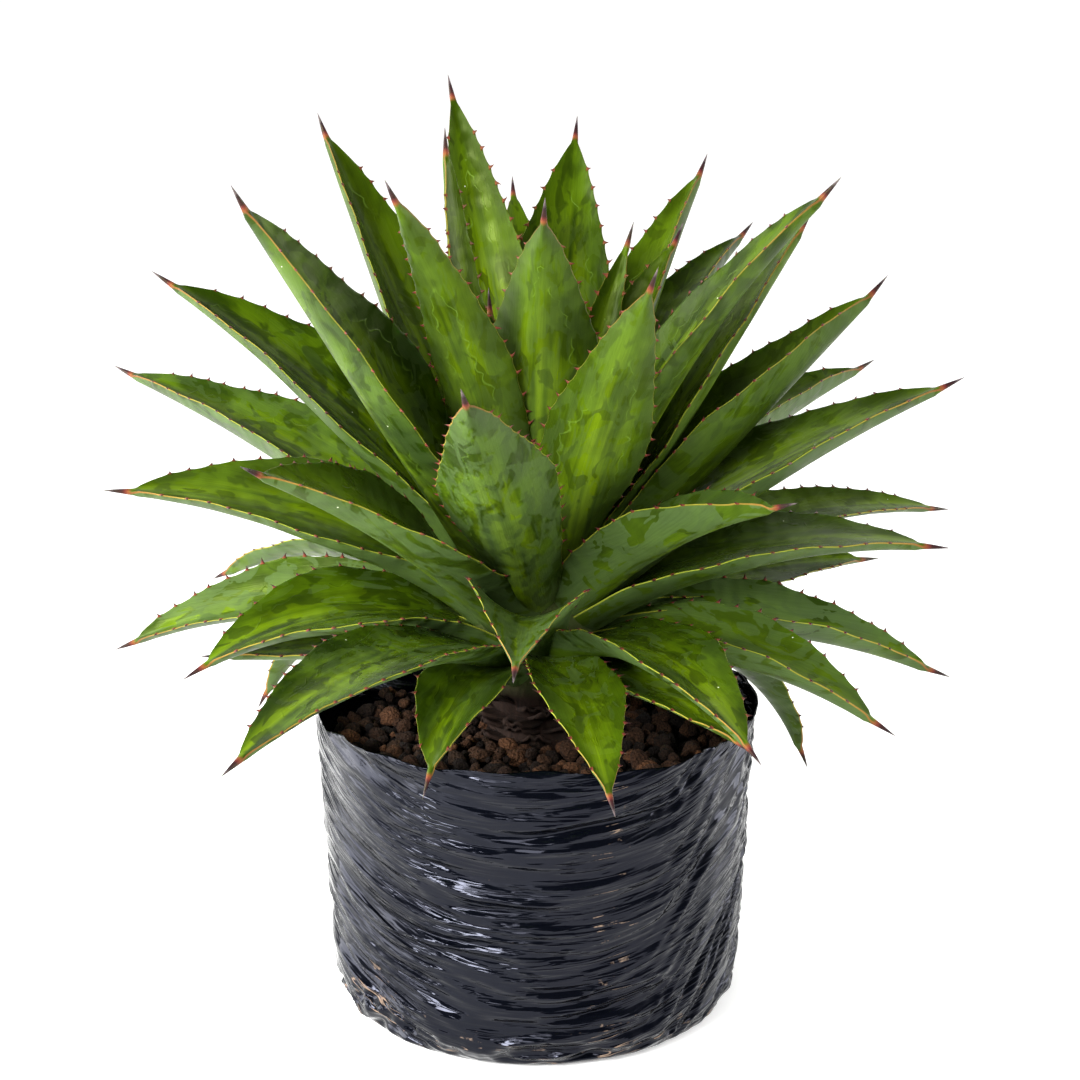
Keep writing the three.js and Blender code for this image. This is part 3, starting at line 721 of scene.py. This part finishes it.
# Agave leaf skin: a waxy cuticle. Where the grey bloom is whole it is dull and bluish, and where
# neighbours rubbed it off in the bud it is a glossier, purer green, in sharp-edged patches.
cuticle, tree, shader = new_material("waxy_agave_cuticle")
vectors, parts = {}, {}
for name in ("blade", "form", "kind"):
    vectors[name] = add_node(tree, "Attribute", out="Vector", attribute_name=name)
    parts[name] = add_node(tree, "SeparateXYZ", (vectors[name],)).node.outputs
along_mm = parts["blade"]["X"]
along, across, under = (parts["form"][axis] for axis in "XYZ")
age, chance, horn = (parts["kind"][axis] for axis in "XYZ")
edge_mm = add_node(tree, "Attribute", out="Fac", attribute_name="edge")
sheltered = add_node(tree, "Attribute", out="Fac", attribute_name="wax")

# The patterns, each with its size in mm along and across the blade and how far it is turned:
# fine fibres, broad stripes, clouds of light and dark, the patches where bloom was rubbed off,
# brushed strokes across those, dark blotches, and low swellings.
PATTERNS = (
    ("fibres", 14.3, 0.625, 0, {"Detail": 3.0}),
    ("stripes", 83.3, 5, 0, {"Detail": 2.0}),
    ("clouds", 33.3, 16.7, 0, {"Detail": 4.0}),
    ("patches", 25, 11.76, 0, {"Detail": 2.5, "Roughness": 0.6, "Distortion": 1.4}),
    ("strokes", 28.6, 3.33, 0.6, {"Detail": 2.0}),
    ("blotches", 16.7, 8.33, 0, {"Detail": 2.0, "Distortion": 0.8}),
    ("swellings", 11.76, 20, 0, {"Detail": 1.0}),
)
pattern = {}
for name, long, wide, turn, grain in PATTERNS:
    spread = {"Vector": vectors["blade"], "Rotation": (0, 0, turn), "Scale": (1 / long, 1 / wide, 1)}
    spread = add_node(tree, "Mapping", spread)
    pattern[name] = add_node(tree, "TexNoise", {"Vector": spread, "Scale": 1.0, **grain})

# The margin of the leaf that lay on this one in the bud left its scallops printed in the bloom,
# 6 to 14 mm inside the margin. They are as long as its teeth are apart.
SCALLOP_LONG, SCALLOP_DEEP = 8.73, 1.8
PRINT_NEAR, PRINT_FAR = 5.5, 12.0
scallop = add_node(tree, "Math", (along_mm, math.pi / SCALLOP_LONG), operation="MULTIPLY")
scallop = add_node(tree, "Math", (scallop,), operation="SINE")
scallop = add_node(tree, "Math", (scallop,), operation="ABSOLUTE")
scallop = add_node(tree, "Math", (scallop, SCALLOP_DEEP), operation="MULTIPLY")
print_depth = add_node(tree, "MapRange", (pattern["clouds"], 0.3, 0.7, PRINT_NEAR, PRINT_FAR))
print_edge = add_node(tree, "Math", (scallop, print_depth), operation="ADD")
from_print = add_node(tree, "Math", (edge_mm, print_edge), operation="SUBTRACT")
inside_print = add_node(tree, "MapRange", (from_print, -0.25, 0.25))
print_line = add_node(tree, "Math", (from_print,), operation="ABSOLUTE")
print_line = add_node(tree, "MapRange", (print_line, 0.55, 0.1))
print_gaps = add_node(tree, "MapRange", (pattern["patches"], 0.45, 0.6))
print_line = add_node(tree, "Math", (print_line, print_gaps), operation="MULTIPLY")

# Bloom is whole underneath but for the rubbed patches, less so on young leaves. Above, it is
# left in patches near the root, and whole in the deep channels of old leaves.
rubbed = add_node(tree, "MapRange", (pattern["patches"], 0.53, 0.537))
stroked = add_node(tree, "MapRange", (pattern["strokes"], 0.4, 0.41))
rubbed = add_node(tree, "Math", (rubbed, stroked), operation="MULTIPLY")
bloom_below = add_node(tree, "MapRange", (rubbed, 0, 1, 0.85, 0.1))
bloom_above = add_node(tree, "MapRange", (pattern["patches"], 0.475, 0.468))
bloom_kept = add_node(tree, "MapRange", (rubbed, 0, 1, 0.75, 0.1))
for share in (add_node(tree, "MapRange", (age, 0.55, 0.7, 1.0, 0.3)), under):
    bloom_below = add_node(tree, "Math", (bloom_below, share), operation="MULTIPLY")
for share in (add_node(tree, "MapRange", (along, 0.2, 0.8, 0.7, 0.0)),
              add_node(tree, "MapRange", (inside_print, 0, 1, 0.6, 1.0))):
    bloom_above = add_node(tree, "Math", (bloom_above, share), operation="MULTIPLY")
for share in (sheltered, add_node(tree, "MapRange", (age, 0.6, 0.4))):
    bloom_kept = add_node(tree, "Math", (bloom_kept, share), operation="MULTIPLY")
bloom_above = add_node(tree, "Math", (bloom_above, bloom_kept), operation="MAXIMUM")
above = add_node(tree, "MapRange", (under, 0, 1, 1.0, 0.0))
bloom_above = add_node(tree, "Math", (bloom_above, above), operation="MULTIPLY")
bloom = add_node(tree, "Math", (bloom_below, bloom_above), operation="ADD")

# Light green along the middle, partly pale midline and partly painted light: to the tip on old leaves, low on
# young ones.
midline_and_painted_light_old = add_node(tree, "MapRange", (along, 0.25, 0.8, 0.2, 0.6))
is_old = add_node(tree, "MapRange", (age, 0.6, 0.4))
midline_and_painted_light_old = add_node(tree, "Math", (midline_and_painted_light_old, is_old), operation="MULTIPLY")
midline_and_painted_light_young = add_node(tree, "MapRange", (along, 0.85, 0.5, 0.05, 0.85))
is_young = add_node(tree, "MapRange", (age, 0.4, 0.6))
midline_and_painted_light_young = add_node(tree, "Math", (midline_and_painted_light_young, is_young), operation="MULTIPLY")
midline_and_painted_light = add_node(tree, "MapRange", (across, 0.75, 0.1))
for share in (add_node(tree, "MapRange", (pattern["stripes"], 0.36, 0.6)),
              add_node(tree, "Math", (midline_and_painted_light_old, midline_and_painted_light_young), operation="ADD"),
              add_node(tree, "MapRange", (under, 0, 1, 1.0, 0.7))):
    midline_and_painted_light = add_node(tree, "Math", (midline_and_painted_light, share), operation="MULTIPLY")

# Horny margin 0.5 mm wide: straw yellow low on the leaf, rust red towards the spine. Teeth and
# spine are brown where they grow out, then near black, and weathered grey at the tip. Pale
# flecks lie about 17 mm apart.
FLECKS_PER_MM = 0.06
margin_tone = add_node(tree, "ValToRGB", (along,), stops=(
    (0.6, "#8f9430"), (0.86, "#8a6a30"), (0.96, "#5f2c20")))
horn_tone = add_node(tree, "ValToRGB", (horn,), stops=(
    (0.42, "#6d3c24"), (0.52, "#572423"), (0.6, "#2f171a"), (0.85, "#271a20"), (1.0, "#54494c")))
on_margin = add_node(tree, "MapRange", (edge_mm, 0.17, 0.04))
margin_share = add_node(tree, "MapRange", (age, 0.5, 0.9, 1.0, 0.55))
on_margin = add_node(tree, "Math", (on_margin, margin_share), operation="MULTIPLY")
flecks = add_node(tree, "TexVoronoi", {"Vector": vectors["blade"], "Scale": FLECKS_PER_MM})

# The colours that lie over the two greens, each with its share, from the deepest to the outermost.
waxed = add_node(tree, "Math", (bloom, 0.8), operation="MULTIPLY")
printed = add_node(tree, "MapRange", (age, 0.5, 0.8, 0.0, 0.35))
printed = add_node(tree, "Math", (print_line, printed), operation="MULTIPLY")
pale_base = add_node(tree, "MapRange", (along, 0.14, 0.04))
base_share = add_node(tree, "MapRange", (age, 0.4, 0.9, 0.0, 0.4))
pale_base = add_node(tree, "Math", (pale_base, base_share), operation="MULTIPLY")
deep_or_light = add_node(tree, "MapRange", (pattern["clouds"], 0.42, 0.58))
skin = add_node(tree, "Mix", {0: deep_or_light, 6: linear("#182802"), 7: linear("#3b5105")}, data_type="RGBA")
for share, colour in (
        # lighter green along the middle, partly the leaf's pale midline and partly painted light
        (midline_and_painted_light, linear("#718b07")),
        (add_node(tree, "MapRange", (pattern["blotches"], 0.54, 0.58, 0.0, 0.65)), linear("#152303")),
        (add_node(tree, "MapRange", (across, 0.6, 0.95, 0.0, 0.3)), linear("#1b2c03")),
        (add_node(tree, "MapRange", (chance, 0.0, 1.0, 0.0, 0.25)), linear("#4f640a")),
        (waxed, linear("#475a33")),
        (printed, linear("#6f9034")),
        (add_node(tree, "MapRange", (pattern["fibres"], 0.35, 0.7, 0.0, 0.2)), linear("#152503")),
        (pale_base, linear("#6f8040")),
        (on_margin, margin_tone),
        (add_node(tree, "MapRange", (horn, 0.3, 0.42)), horn_tone),
        (add_node(tree, "MapRange", (flecks, 0.022, 0.014)), linear("#d9dcc4"))):
    skin = add_node(tree, "Mix", {0: share, 6: skin, 7: colour}, data_type="RGBA")
tree.links.new(skin, shader.inputs["Base Color"])

dullness = add_node(tree, "MapRange", (bloom, 0, 1, 1.0, 2.0))
bare_rough = add_node(tree, "MapRange", (under, 0, 1, 0.27, 0.36))
dullness = add_node(tree, "Math", (dullness, bare_rough), operation="MULTIPLY")
dullness = add_node(tree, "Math", (dullness, 0.52), operation="MINIMUM")
tree.links.new(dullness, shader.inputs["Roughness"])
relief = add_node(tree, "Math", (pattern["fibres"], 0.25), operation="MULTIPLY")
for mark, depth in ((bloom, 0.12), (pattern["swellings"], 3.5), (print_line, 0.3)):
    raised = add_node(tree, "Math", (mark, depth), operation="MULTIPLY")
    relief = add_node(tree, "Math", (relief, raised), operation="ADD")
bump = add_node(tree, "Bump", {"Height": relief, "Strength": 0.5, "Distance": 0.8 * MM})
tree.links.new(bump, shader.inputs["Normal"])
shader.inputs["IOR"].default_value = 1.45
shader.inputs["Specular IOR Level"].default_value = 0.16
shader.inputs["Specular Tint"].default_value = linear("#cfe58a")
shader.inputs["Subsurface Weight"].default_value = 0.06
shader.inputs["Subsurface Radius"].default_value = (0.6, 1.0, 0.2)
shader.inputs["Subsurface Scale"].default_value = 3 * MM

for number, row in enumerate(LEAVES):
    leaf = f"leaf_{number + 1:02d}"
    add_piece(f"agave_{leaf}", build_leaf(Blade(number, *row)), cuticle, "leaf", leaf)
